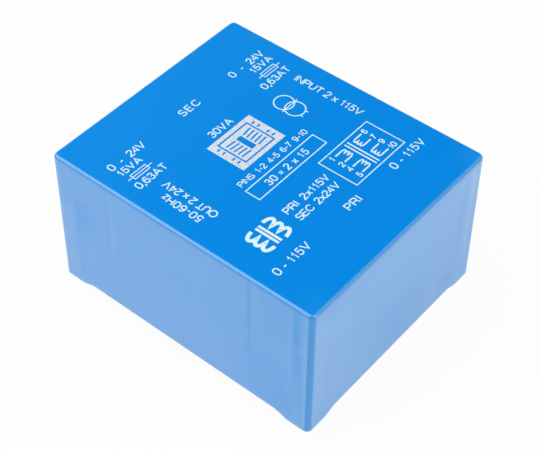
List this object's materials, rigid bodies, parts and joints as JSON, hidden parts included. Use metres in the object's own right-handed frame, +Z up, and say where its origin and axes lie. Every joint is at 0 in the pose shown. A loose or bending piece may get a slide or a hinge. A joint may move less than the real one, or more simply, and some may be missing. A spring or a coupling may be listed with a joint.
{
  "type": "pcb transformer",
  "caption": "Encapsulated low-profile transformer for a circuit board: a flat blue moulded block, cast full of resin, with solder pins under its two short ends.",
  "frame": {"origin": "centre of the pin field, on the board's surface, where the case's four corner feet stand", "axes": "+X along the long side, from the secondary pins to the primary pins; +Y across; +Z up, away from the board"},
  "size_m": [0.068, 0.057, 0.0395],
  "materials": {
    "case_moulding": "satin, light blue",
    "cast_resin": "cast, matte, grey beige",
    "lamination_steel": "punched silicon steel",
    "bobbin_moulding": "moulded glass-filled nylon",
    "enamelled_wire": "enamelled copper wire, wound",
    "winding_tape": "polyester tape",
    "tinned_pin": "tinned copper alloy",
    "solder": "soft solder"
  },
  "bodies": {
    "root": {"case": "case_moulding", "potting_resin": "cast_resin", "u_laminations": "lamination_steel", "i_laminations": "lamination_steel", "solder_joints": "solder", "bobbin_front": "bobbin_moulding", "primary_winding_front": "enamelled_wire", "primary_tape_front": "winding_tape", "secondary_winding_front": "enamelled_wire", "secondary_tape_front": "winding_tape", "bobbin_rear": "bobbin_moulding", "primary_winding_rear": "enamelled_wire", "primary_tape_rear": "winding_tape", "secondary_winding_rear": "enamelled_wire", "secondary_tape_rear": "winding_tape", "primary_pin_1": "tinned_pin", "primary_pin_2": "tinned_pin", "primary_pin_3": "tinned_pin", "primary_pin_4": "tinned_pin", "secondary_pin_1": "tinned_pin", "secondary_pin_2": "tinned_pin", "secondary_pin_3": "tinned_pin", "secondary_pin_4": "tinned_pin"}
  },
  "joints": []
}
